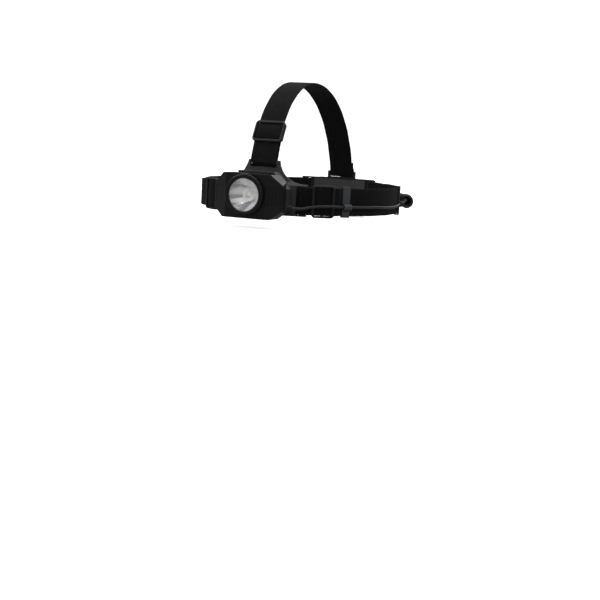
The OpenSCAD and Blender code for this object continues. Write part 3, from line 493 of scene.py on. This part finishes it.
LAMP_ROUTE = [
    (20, -120.5, -6), (20.5, -118, -6.5), (23, -117, -7.5), (28, -116.8, -8), (34, -116.8, -8),
    (41, -116.8, -8), (46, -114, -8), (50, -109.5, -8), (56, -106, -6.5), (65, -100.6, -5),
    (73.5, -94.6, -4.5), (80.5, -88.7, -4.5), (84.2, -79.1, -5), (89.7, -72.6, -5), (94.2, -66.6, -5),
    (98.2, -60.6, -5), (101.5, -54.7, -5), (104.5, -47.5, -5), (107.3, -39.5, -5), (110.5, -28, -5.5),
    (112.5, -18, -6), (113.7, -8, -6), (114, 2, -6), (113.7, 12, -5.5), (112.6, 22, -4.5),
    (111.2, 30, -4), (109.9, 36.7, -4), (109, 41, -4), (109.6, 48, -3)]
LEAD_ROUTE = [(63, 117.2, -4), (57, 121.2, -6), (51.5, 125.5, -8), (47, 129, -8), (41, 130.9, -8)]
CORD_R = 1.6
CURLY_R, CURLY_FROM, CURLY_TO, CURLY_Z, COIL_R = 117.0, 18.2, 54.0, -2.0, 6.4
COIL_PITCH = 3.45


def curly_route():
    """Tight helix about an arc of the head loop, growing out of its axis at both ends."""
    length = math.radians(CURLY_TO - CURLY_FROM)*CURLY_R
    turns = length/COIL_PITCH
    steps = int(turns*24)
    route = []
    for k in range(steps + 1):
        share = k/steps
        a = math.radians(CURLY_FROM + (CURLY_TO - CURLY_FROM)*share)
        out = Vector((math.cos(a), math.sin(a), 0))
        end = min(share, 1 - share)*turns
        r = COIL_R*min(1, end/0.55)
        wind = 2*math.pi*turns*share + 0.9
        sway = Vector((0, 0, 0.5*math.sin(share*9)))
        route.append(Vector((0, BACK_CY, CURLY_Z)) + out*CURLY_R + sway
                     + r*(math.cos(wind)*out + math.sin(wind)*Vector((0, 0, 1))))
    return route


def make_cord():
    front = cord_tube("lamp_lead", smooth_route(LAMP_ROUTE), CORD_R)
    settle(front, "cord_jacket", None, "lamp_cord")
    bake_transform(front)
    join_in, join_out = Vector((109.6, 48, -3)), Vector((63, 117.2, -4))
    coil = curly_route()
    lead_in = smooth_route([join_in, *coil[4:6]], 0.8)
    lead_out = smooth_route([*coil[-6:-4], join_out], 0.8)
    whole = lead_in[:-1] + coil[6:-6] + lead_out[1:]
    coil_cord = cord_tube("curly_lead", whole + smooth_route(LEAD_ROUTE, 1.2)[1:], CORD_R, 12)
    settle(coil_cord, "cord_jacket", "harness", "curly_cord", "battery_lead")


make_cord()


# ---------------------------------------------------------------- webbing

def arc(centre, radius, start, end, step=1.0):
    """Points on an arc between two angles in degrees."""
    n = max(2, int(abs(math.radians(end - start))*radius/step))
    return [Vector((centre[0] + radius*math.cos(math.radians(start + (end - start)*k/n)),
                    centre[1] + radius*math.sin(math.radians(start + (end - start)*k/n))))
            for k in range(n + 1)]


def turn_over(centre, radius, angle, reach, side, flat=1.22):
    """Half turn round a bar at that radius and angle, from the inner layer to the outer one."""
    out = Vector((math.cos(math.radians(angle)), math.sin(math.radians(angle))))
    along = Vector((-out.y, out.x))*side
    middle = Vector(centre) + radius*out
    return [middle - reach*math.cos(math.pi*k/12)*out + flat*reach*math.sin(math.pi*k/12)*along
            for k in range(1, 12)]


def ribbon(name, path, plane, width=WEB_W, thick=WEB_T, ribs=0.05, step=0.9):
    """Webbing swept along a flat path. plane is "top" for paths in X and Y, "side" for Y and Z."""
    path = resampled([Vector((p[0], p[1], 0)) for p in path], step)
    half, edge = width/2, thick/2
    stations = [half*math.sin(math.pi/2*k/8) for k in range(-8, 9)]      # closer together at the selvedges
    section = []
    for v in stations:
        lift = math.sqrt(max(0, 1 - max(0, (abs(v) - half + edge)/edge)**2))
        section.append((v, lift))
    loop = [(v, k) for v, k in section] + [(v, -k) for v, k in section[-2:0:-1]]
    points, uvs, travelled = [], [], 0.0
    for i, p in enumerate(path):
        head = (path[min(i + 1, len(path) - 1)] - path[max(i - 1, 0)]).normalized()
        out = Vector((head.y, -head.x, 0))
        if i:
            travelled += (p - path[i - 1]).length
        rib = ribs*(1 if i % 2 else -1)
        for v, k in loop:
            wave = 0.12*math.sin(travelled*0.21 + v*0.13)*max(0, abs(v)/half - 0.75)*4
            q = p + out*((edge - (ribs if abs(k) > 0.9 else 0))*k + rib*k)
            z = v + wave
            points.append((q.x, q.y, z) if plane == "top" else (z, q.x, q.y))
            uvs.append((travelled, v))
    return piece(name, points, rings_to_faces(len(path), len(loop)), uvs, sharp=50)


def mirrored(path, sign):
    return [Vector((sign*p.x, p.y)) for p in path]


def stitches(name, spots, thread=0.28, length=2.2):
    """Rows of thread: spots are (point, normal, direction), all unit vectors in millimetres."""
    points, faces = [], []
    for p, out, head in spots:
        side = out.cross(head)
        base = len(points)
        for k in range(7):
            t = k/6*2 - 1
            c = p + head*(length/2*t) + out*(thread*(1 - t*t)*1.1 - 0.12)
            r = thread*math.sqrt(max(0.05, 1 - (abs(t)**3)*0.8))
            points += [c + r*(math.cos(a)*side + math.sin(a)*out) for a in (math.pi*2*m/6 for m in range(6))]
        for i in range(6):
            faces += [(base + i*6 + m, base + i*6 + (m + 1) % 6, base + (i + 1)*6 + (m + 1) % 6,
                       base + (i + 1)*6 + m)
                      for m in range(6)]
        faces += [tuple(base + m for m in range(6))[::-1], tuple(base + 36 + m for m in range(6))]
    return piece(name, points, faces, sharp=80)


def side_webbing(sign, step_phi):
    """One side of the head loop, for the wearer's left where sign is 1."""
    label = "left" if sign > 0 else "right"
    adj = -90 + SIDE_ADJ_PHI
    fold = -90 + FOLD_PHI
    step = -90 + step_phi
    origin, side_centre, back_centre = (0, 0), (-SIDE_C, 0), (0, BACK_CY)
    bar_psi = 22.38
    inner = arc(origin, LOOP_R + IN_MID, adj + 1.6, fold)
    inner += turn_over(origin, LOOP_R + PLATE_MID, fold, 2.2, -1)
    outer = arc(origin, LOOP_R + OUT_MID, fold, step)
    main = (arc(origin, LOOP_R + IN_MID, step + 3.2, 0) + arc(side_centre, SIDE_R + IN_MID, 0, SIDE_A)[1:]
            + arc(back_centre, BACK_R + IN_MID, SIDE_A, 90 - bar_psi)[1:]
            + turn_over(back_centre, 109.6, 90 - bar_psi, 2.3, 1)
            + arc(back_centre, 111.9, 90 - bar_psi, 63.6))
    drop = [Vector((math.cos(math.radians(a))*r, math.sin(math.radians(a))*r))
            for a, r in ((61.8, 110.9), (60.4, 109.6), (59.4, 108.98))]
    main += [Vector((p.x, p.y + BACK_CY)) for p in drop] + arc(back_centre, 108.95, 58.6, 55.5)
    web = ribbon("head_loop_" + label, mirrored(outer + main, sign), "top")
    settle(web, "webbing", "harness", "side_strap_" + label)
    loop = ribbon("front_loop_" + label, mirrored(inner, sign), "top")
    settle(loop, "webbing", None)
    ends = [Vector((sign*math.cos(math.radians(a))*LOOP_R, math.sin(math.radians(a))*LOOP_R, 0))*MM
            for a in (-90 + 27.5, adj + 0.5)]
    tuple(ends[0])
    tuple(ends[1])
    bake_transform(loop)
    spots = []
    for psi in (32.6, 30.6):
        a = math.radians(90 - psi)
        out = Vector((sign*math.cos(a), math.sin(a), 0))
        for k in range(-4, 5):
            spots.append((Vector((0, BACK_CY, 3.1*k)) + out*(108.95 + 0.82), out, Vector((0, 0, 1))))
    settle(stitches("tail_stitches_" + label, spots), "webbing", "harness", material=THREAD)


def crown_webbing():
    fold = 180 - 12.1
    inner = (arc(CROWN_C1, CROWN_BASE + IN_MID, CROWN_ADJ - 1.6, fold)
             + turn_over(CROWN_C1, CROWN_BASE + PLATE_MID, fold, 2.2, 1))
    loop = ribbon("crown_front_loop", inner, "side")
    settle(loop, "webbing", None)
    centre = Vector((0, *CROWN_C1))
    ends = [(centre + Vector((0, math.cos(math.radians(a)), math.sin(math.radians(a))))*CROWN_BASE)*MM
            for a in (fold - 5, CROWN_ADJ - 0.5)]
    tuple(ends[0])
    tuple(ends[1])
    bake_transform(loop)
    over = (arc(CROWN_C1, CROWN_BASE + OUT_MID, fold, 140) + arc(CROWN_C2, 95.6, 140, 90)[1:]
            + arc(CROWN_C3, 135.4, 90, 13.6)[1:])
    corner = [(125.9, 22.2), (126.0, 20.9), (126.25, 20.05), (126.8, 19.62), (127.6, 19.6), (129.0, 19.6),
              (129.7, 19.75), (130.25, 20.2), (130.4, 21.0), (130.4, 22.6), (130.4, 26.4), (129.6, 28.2),
              (127.9, 29.9), (127.0, 31.2), (126.6, 32.6), (126.2, 34.4), (125.7, 36.6)]
    web = ribbon("crown_webbing", over + [Vector(c) for c in corner], "side", step=0.8)
    settle(web, "webbing", "harness", "crown_strap")
    spots = []
    for y, z in ((127.25, 34.0), (126.75, 36.0)):
        out = Vector((0, 0.97, 0.24))
        spots += [(Vector((3.1*k, y, z)), out, Vector((1, 0, 0))) for k in range(-4, 5)]
    settle(stitches("crown_tail_stitches", spots), "webbing", "harness", material=THREAD)


side_webbing(1, 43.8)
side_webbing(-1, 57.0)
crown_webbing()


# ---------------------------------------------------------------- slide adjusters

def adjuster(name, node, body, base, mid, place):
    """Three-bar slide: a rounded frame whose ends pass over the webbing and whose rails pass beside it,
    a bar under the middle, and the webbing swelling over that bar. place maps (radius, angle, across)."""
    s_plate, s_top, s_bar, s_bar_top = 1.9, 6.0, 6.3, 7.9
    r_mid = base + s_bar
    half_len, half_w = 12.5, 17.5
    bar_w, rail_w, corner = 2.8, 2.2, 4.0
    inner_x, inner_z = half_len - bar_w, half_w - rail_w
    loop = []
    for cx, cz, a0 in ((1, 1, 0), (-1, 1, 90), (-1, -1, 180), (1, -1, 270)):
        for k in range(9):
            a = math.radians(a0 + 90*k/8)
            loop.append((cx*(half_len - corner) + corner*math.cos(a),
                         cz*(half_w - corner) + corner*math.sin(a),
                         cx*(inner_x - 1.6) + 1.6*math.cos(a), cz*(inner_z - 1.6) + 1.6*math.sin(a)))
    dense = []
    for i, (ox, oz, ix, iz) in enumerate(loop):
        nx = loop[(i + 1) % len(loop)]
        gap = math.hypot(nx[0] - ox, nx[1] - oz)
        n = max(1, int(gap/2.2))
        dense += [tuple(c + (d - c)*k/n for c, d in zip((ox, oz, ix, iz), nx)) for k in range(n)]
    section = 14
    points = []
    for ox, oz, ix, iz in dense:
        over = min(1.0, max(0.0, (15.35 - abs(iz) if abs(iz) < 15.3 else 0.0)/0.9))
        over = over*over*(3 - 2*over)
        low = s_plate + 0.1 + (s_bar - s_plate - 0.1)*over
        for k in range(section):
            a = 2*math.pi*k/section
            c, s = math.cos(a), math.sin(a)
            u = 0.5 + 0.5*math.copysign(abs(c)**0.45, c)
            v = 0.5 + 0.5*math.copysign(abs(s)**0.45, s)
            x, z = ix + (ox - ix)*u, iz + (oz - iz)*u
            radius = base + low + (s_bar_top - low)*v
            points.append(place(radius, mid + math.degrees(x/r_mid), z))
    frame_piece = piece(name, points, rings_to_faces(len(dense), section, closed_rows=True), sharp=60)
    settle(frame_piece, "adjuster_plastic", body, node)
    bar = []
    rows = 25
    for i in range(rows):
        z = -16.2 + 32.4*i/(rows - 1)
        for k in range(12):
            a = 2*math.pi*k/12
            c, s = math.cos(a), math.sin(a)
            x = 1.4*math.copysign(abs(c)**0.6, c)
            radius = base + 3.0 + 1.1*math.copysign(abs(s)**0.6, s)
            bar.append(place(radius, mid + math.degrees(x/r_mid), z))
    settle(piece(name + "_bar", bar, rings_to_faces(rows, 12), sharp=60), "adjuster_plastic", body)
    # Webbing pushed up over the bar: thin where it meets the end bars, proud in the middle
    cols, steps = 17, 31
    top, uvs = [], []
    for i in range(steps):
        t = i/(steps - 1)*2 - 1
        swell = 1.55*math.cos(t*math.pi/2)**0.55 + 0.03 if abs(t) < 1 else 0.03
        for j in range(cols):
            v = math.sin(math.pi/2*(j/(cols - 1)*2 - 1))
            fall = math.sqrt(max(0.0, 1 - abs(v)**10))
            top.append(place(base + s_top - 0.15 + (swell + 0.1)*(0.25 + 0.75*fall),
                             mid + math.degrees(8.9*t/r_mid), v*(WEB_W/2 - 0.05)))
            uvs.append((8.9*t, v*WEB_W/2))
    n = len(top)
    for i in range(steps):
        t = i/(steps - 1)*2 - 1
        for j in range(cols):
            v = math.sin(math.pi/2*(j/(cols - 1)*2 - 1))
            top.append(place(base + s_top - 0.35, mid + math.degrees(8.9*t/r_mid), v*(WEB_W/2 - 0.05)))
            uvs.append((8.9*t, v*WEB_W/2))
    faces = []
    for i in range(steps - 1):
        for j in range(cols - 1):
            a = i*cols + j
            faces += [(a, a + 1, a + cols + 1, a + cols), (n + a, n + a + cols, n + a + cols + 1, n + a + 1)]
        for a, b in ((i*cols, (i + 1)*cols), ((i + 2)*cols - 1, (i + 1)*cols - 1)):
            faces.append((a, b, n + b, n + a))
    for row in (0, (steps - 1)*cols):
        faces += [(row + j, row + j + 1, n + row + j + 1, n + row + j) for j in range(cols - 1)]
    settle(piece(name + "_webbing", top, faces, uvs, sharp=60), "webbing", body)


def around_loop(sign):
    def place(r, a, z):
        return (sign*r*math.cos(math.radians(a)), r*math.sin(math.radians(a)), z)
    return place


def around_crown(r, a, z):
    return (z, CROWN_C1[0] + r*math.cos(math.radians(a)), CROWN_C1[1] + r*math.sin(math.radians(a)))


adjuster("slide_left", "side_adjuster_left", "left_adjuster", LOOP_R, -90 + SIDE_ADJ_PHI, around_loop(1))
adjuster("slide_right", "side_adjuster_right", "right_adjuster", LOOP_R, -90 + SIDE_ADJ_PHI, around_loop(-1))
adjuster("slide_crown", "crown_adjuster", "top_adjuster", CROWN_BASE, CROWN_ADJ, around_crown)


# ---------------------------------------------------------------- lamp head

BEAM_Z, BARREL_R, BARREL_Y = 4.9, 18.6, -151.5
LENS_BACK, REFLECTOR_D, HOLE_R, BOWL_R = -149.5, 10.5, 7.1, 17.5


def make_optics():
    beam = (0, 0, BEAM_Z)
    bowl = []
    rows = 36
    for k in range(rows + 1):
        h = k/rows
        r = math.sqrt(HOLE_R**2 + (BOWL_R**2 - HOLE_R**2)*(1 - h))
        bowl.append((r, LENS_BACK + REFLECTOR_D*h))
    lip = [(HOLE_R + 0.3, LENS_BACK + REFLECTOR_D), (HOLE_R + 1.0, LENS_BACK + REFLECTOR_D - 0.5)]
    back = [(math.sqrt(HOLE_R**2 + (BOWL_R**2 - HOLE_R**2)*(1 - k/10)) + 0.9, LENS_BACK + REFLECTOR_D*k/10)
            for k in range(8, 1, -1)]
    rim = [(BARREL_R - 0.25, LENS_BACK + 1.0), (BARREL_R - 0.2, LENS_BACK + 0.9),
           (BARREL_R - 0.2, LENS_BACK + 0.1),
           (BARREL_R - 0.3, LENS_BACK), (BOWL_R + 0.15, LENS_BACK - 0.0)]
    cup = lathe("reflector_bowl", bowl + lip + back + rim, beam, (0, 1, 0), steps=128, sharp=40)
    settle(cup, "reflector_metal", "lamp_head", "reflector")
    holder = lathe("emitter_holder", [
        (3.5, -139 + 1.2), (3.5, -139 + 0.35), (3.75, -139.0), (6.3, -139.12), (HOLE_R - 0.15, -139.05),
        (HOLE_R + 1.9, -138.98), (HOLE_R + 2.0, -138.9), (HOLE_R + 2.0, -137.8)], beam, (0, 1, 0), steps=72)
    settle(holder, "white_plastic", "lamp_head", "led_holder")
    dome = [(0.0, -141.5)]
    dome += [(3.1*math.sin(a), -139.4 - 2.0*math.cos(a)) for a in (math.pi/2*k/10 for k in range(1, 11))]
    dome += [(3.4, -139.3), (3.45, -139.1), (3.45, -137.8), (0.0, -137.8)]
    emitter = lathe("emitter_dome", dome, beam, (0, 1, 0), closed=False, steps=64)
    settle(emitter, "led", "lamp_head", "led_emitter")
    front, rear = -151.1, -149.5
    lens = lathe("front_lens", [
        (0, front - 0.12), (9, front - 0.09), (15, front), (BARREL_R - 0.5, front),
        (BARREL_R - 0.2, front + 0.3),
        (BARREL_R - 0.2, rear - 0.3), (BARREL_R - 0.5, rear - 0.02), (0, rear - 0.02)], beam, (0, 1, 0),
        closed=False, steps=SEGMENTS)
    settle(lens, "clear_lens", "lamp_head", "lens")


def make_lens_ring():
    """Screw-on ring with finger flutes round its skirt and a rounded front lip."""
    outer, lip_r = BARREL_R + 3.6, 17.2
    steps = 240
    # (radius, distance in front of the barrel's rim, depth of the flutes there)
    profile = [(lip_r, 0.0, 0), (lip_r, 0.35, 0), (lip_r + 0.25, 0.75, 0), (lip_r + 0.8, 1.1, 0),
               (lip_r + 1.6, 1.3, 0), (lip_r + 2.6, 1.3, 0), (lip_r + 3.4, 1.15, 0.1),
               (outer - 0.8, 0.9, 0.3), (outer - 0.35, 0.5, 0.6), (outer - 0.1, 0.0, 0.9),
               (outer, -0.6, 1), (outer, -1.9, 1), (outer - 0.15, -2.35, 0.9), (outer - 0.5, -2.5, 0.5),
               (BARREL_R + 2.1, -2.5, 0), (BARREL_R + 2.1, 0.0, 0)]
    points = []
    for k in range(steps):
        a = 2*math.pi*k/steps
        flute = 0.62*max(0.0, math.cos(24*a) - 0.25)/0.75
        for r, f, share in profile:
            q = r - flute*share
            points.append((q*math.cos(a), BARREL_Y - f, BEAM_Z + q*math.sin(a)))
    ring = piece("lens_ring_fluted", points, rings_to_faces(steps, len(profile), closed_rows=True), sharp=50)
    settle(ring, "lamp_plastic", "lamp_head", "lens_ring")


def make_lamp():
    make_optics()
    make_lens_ring()
    for node, name, slot, radius in (
            ("lamp_housing", "lamp_shell", "lamp_plastic", 0.55),
            ("lamp_back", "lamp_back_plate", "lamp_plastic", 0.4),
            ("lamp_back_seal", "back_gasket", "rubber", 0.1), ("lamp_screws", "back_screws", "steel", 0.12),
            ("lens_seal", "lens_gasket", "rubber", 0.06), ("led_board", "emitter_board", "board_white", 0.08),
            ("heat_sink", "heat_sink_block", "aluminium", 0.15),
            ("driver_board", "driver_circuit", "board_green", 0.08),
            ("lamp_grommet", "back_grommet", "rubber", 0.25)):
        settle(dressed(node, name, radius, 3), slot, "lamp_head", node)


make_lamp()


# ---------------------------------------------------------------- bracket, clips and battery case

def make_pad(node, name):
    """Die-cut foam: the node's shape with its edges softened and its face slightly uneven."""
    obj = dressed(node, name, 0.45, 3)
    obj = fixed(obj)
    bm = bmesh.new()
    bm.from_mesh(obj.data)
    bmesh.ops.triangulate(bm, faces=[f for f in bm.faces if len(f.verts) > 4])
    bmesh.ops.subdivide_edges(bm, edges=[e for e in bm.edges if e.calc_length() > 4*MM], cuts=2,
                              use_grid_fill=True)
    for v in bm.verts:
        v.co += v.normal*(noise.noise(v.co*120)*0.12 - 0.06)*MM
    bm.to_mesh(obj.data)
    bm.free()
    settle(obj, "foam", "harness", node)


def make_cell(name, node, z, side):
    """Cylindrical cell with a heat-shrunk wrap, its rolled ends, a button and a vent step."""
    r, y = 5.25, 137.15
    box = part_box(node)
    low, high = box[0].x/MM, box[1].x/MM
    start, axis = (low, (1, 0, 0)) if side > 0 else (high, (-1, 0, 0))
    profile = [(0, 0.12), (3.6, 0.12), (3.9, 0.0), (4.7, 0.0), (5.05, 0.12), (r, 0.5), (r, 1.6),
               (r - 0.06, 1.75), (r, 1.9), (r, 41.9), (r - 0.35, 42.4), (r - 0.6, 42.9),
               (r - 1.0, 43.45), (4.1, 43.6), (3.7, 43.45), (3.2, 43.35), (2.1, 43.4), (1.95, 43.6),
               (1.9, 44.2), (1.7, 44.45), (1.3, 44.5), (0, 44.5)]
    obj = lathe(name, profile, (start, y, z), axis, closed=False, steps=72)
    settle(obj, "cell_wrap", "harness", node)
    obj.data.materials.append(FINISH["nickel"])
    for f in obj.data.polygons:
        along = abs(f.center.x/MM - start)
        radius = math.hypot(f.center.y/MM - y, f.center.z/MM - z)
        if along > 43.0 and radius < 4.3 or along < 0.3 and radius < 4.4:
            f.material_index = 1


def make_springs():
    """Tapered contact springs, one for each cell's flat end."""
    points, faces, turns = [], [], 96
    for z, side in ((-16.25, -1), (-4.25, 1), (7.75, -1)):
        route = []
        for k in range(turns + 1):
            a, r = 2*math.pi*3*k/turns, 3.4 - 1.4*k/turns
            route.append(Vector((side*(24.65 - 3.4*k/turns), 137.15 + r*math.cos(a), z + r*math.sin(a))))
        heads = headings(route)
        base = len(points)
        for p, h in zip(route, heads):
            across = h.cross(Vector((1, 0, 0))).normalized()
            up = h.cross(across)
            points += [p + 0.35*(math.cos(b)*across + math.sin(b)*up)
                       for b in (2*math.pi*m/8 for m in range(8))]
        faces += [tuple(base + v for v in f) for f in rings_to_faces(turns + 1, 8)]
    settle(piece("contact_coils", points, faces, sharp=70), "nickel", "harness", "contact_springs")


def make_button():
    """Domed rubber button with a ring and a raised dot."""
    x = -37.6
    profile = [(0, x - 0.02), (0.9, x - 0.02), (1.1, x + 0.12), (1.4, x + 0.14), (2.9, x + 0.03),
               (3.1, x + 0.16), (3.4, x + 0.16), (3.6, x + 0.04), (4.1, x + 0.25), (4.4, x + 0.65),
               (4.5, x + 1.2)]
    low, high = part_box("power_button")
    shift = low.x/MM - x
    obj = lathe("button_cap", [(r, h + shift) for r, h in profile] + [
        (4.5, -33.7), (5.7, -33.7), (5.7, -32.8), (4.4, -32.8), (0, -32.8)],
        (0, (low.y + high.y)/2/MM, (low.z + high.z)/2/MM), (1, 0, 0), closed=False, steps=64)
    settle(obj, "button_rubber", "button", "power_button")


def make_case():
    for node, name, slot, radius, body in (
            ("front_bracket", "bracket_moulding", "bracket_plastic", 0.5, "harness"),
            ("lamp_hinge_pin", "hinge_pin_front", "steel", 0.2, "harness"),
            ("front_cord_gland", "cord_gland_front", "rubber", 0.3, "harness"),
            ("cord_clip_front", "clip_front", "grey_plastic", 0.35, "front_clip"),
            ("cord_clip_rear", "clip_rear", "dark_grey_plastic", 0.35, "harness"),
            ("battery_case", "case_moulding", "case_plastic", 0.6, "harness"),
            ("rear_cord_gland", "cord_gland_rear", "rubber", 0.3, "harness"),
            ("contact_plate_left", "contact_strip_left", "nickel", 0.1, "harness"),
            ("contact_plate_right", "contact_strip_right", "nickel", 0.1, "harness"),
            ("switch_board", "switch_circuit", "board_green", 0.1, "harness"),
            ("switch_body", "switch_block", "black_plastic", 0.15, "harness"),
            ("cover_seal", "cover_gasket", "rubber", 0.12, "harness"),
            ("battery_cover", "cover_moulding", "case_plastic", 0.5, "cover"),
            ("cover_hinge_pin", "hinge_pin_rear", "steel", 0.15, "harness")):
        corners = GROOVED_CORNERS if node == "battery_cover" else None
        settle(dressed(node, name, radius, 3, corners), slot, body, node)
    for z, side, tag in ((-16.25, 1, "bottom"), (-4.25, -1, "middle"), (7.75, 1, "top")):
        make_cell("cell_body_" + tag, "cell_" + tag, z, side)


make_case()
make_pad("bracket_pad", "foam_pad_front")
make_pad("rear_pad", "foam_pad_rear")
make_springs()
make_button()


# ---------------------------------------------------------------- studio

def studio_shade(tree, seen, given):
    """One value where it is looked at, and another for the light it gives, as flags round a set would do."""
    seen_directly = put(tree, "LightPath").outputs["Is Camera Ray"]
    return put(tree, "Mix", {"data_type": "FLOAT"}, _0=seen_directly, _2=given, _3=seen).outputs[0]


def make_studio():
    """Pale floor that curves up all round, soft lights above and beside it, and an even pale surround."""
    profile = [(0, 0)] + [(0.5*k, 0) for k in range(1, 7)]
    profile += [(3 + 1.5*math.sin(a), 1.5 - 1.5*math.cos(a)) for a in (math.pi/2*k/12 for k in range(1, 13))]
    profile += [(4.5, 2.2)]
    floor = lathe("studio_floor", [(r*1000, h*1000) for r, h in profile], (0, 0, -31.0), (0, 0, 1),
                  closed=False, steps=72, sharp=60)
    m = bpy.data.materials.new("Studio paper")
    m.use_nodes = True
    t = m.node_tree
    shader = t.nodes["Principled BSDF"]
    tone = studio_shade(t, 0.9, FLOOR_GIVES)
    t.links.new(put(t, "CombineColor", {}, Red=tone, Green=tone, Blue=tone).outputs[0],
                shader.inputs["Base Color"])
    shader.inputs["Roughness"].default_value = 0.9
    shader.inputs["Specular IOR Level"].default_value = 0.0
    shader.inputs["Emission Color"].default_value = (1, 1, 1, 1)
    t.links.new(studio_shade(t, 0.72, 0.0), shader.inputs["Emission Strength"])
    floor.data.materials.append(m)
    world = bpy.data.worlds.new("studio")
    world.use_nodes = True
    w = world.node_tree
    surround = w.nodes["Background"]
    surround.inputs["Color"].default_value = (1, 1, 1, 1)
    w.links.new(studio_shade(w, 1.0, SURROUND_GIVES), surround.inputs["Strength"])
    bpy.context.scene.world = world
    for name, spot, aim, size, power in LIGHTS:
        light = bpy.data.lights.new(name, "AREA")
        light.shape, light.size, light.energy = "DISK", size, power
        obj = bpy.data.objects.new(name, light)
        obj.visible_glossy = name != "key"      # so the bowl doesn't mirror it as a hot spot
        bpy.context.scene.collection.objects.link(obj)
        obj.location = spot
        obj.rotation_euler = (Vector(aim) - Vector(spot)).to_track_quat("-Z", "Y").to_euler()
    bpy.context.scene.view_settings.view_transform = "Standard"


FLOOR_GIVES, SURROUND_GIVES = 0.28, 0.62
LIGHTS = (
    ("overhead", (0.1, 0.1, 2.0), (0, 0, 0), 2.4, 22),
    ("left", (-2.2, -1.1, 1.7), (0, -0.1, 0), 1.8, 20),
    ("key", (1.5, -2.4, 1.6), (0, -0.1, 0), 1.0, 40),
    ("right", (2.3, 0.5, 1.2), (0, 0, 0), 1.2, 4),
    ("behind", (0.3, 2.2, 1.2), (0, 0, 0), 1.4, 8))
make_studio()
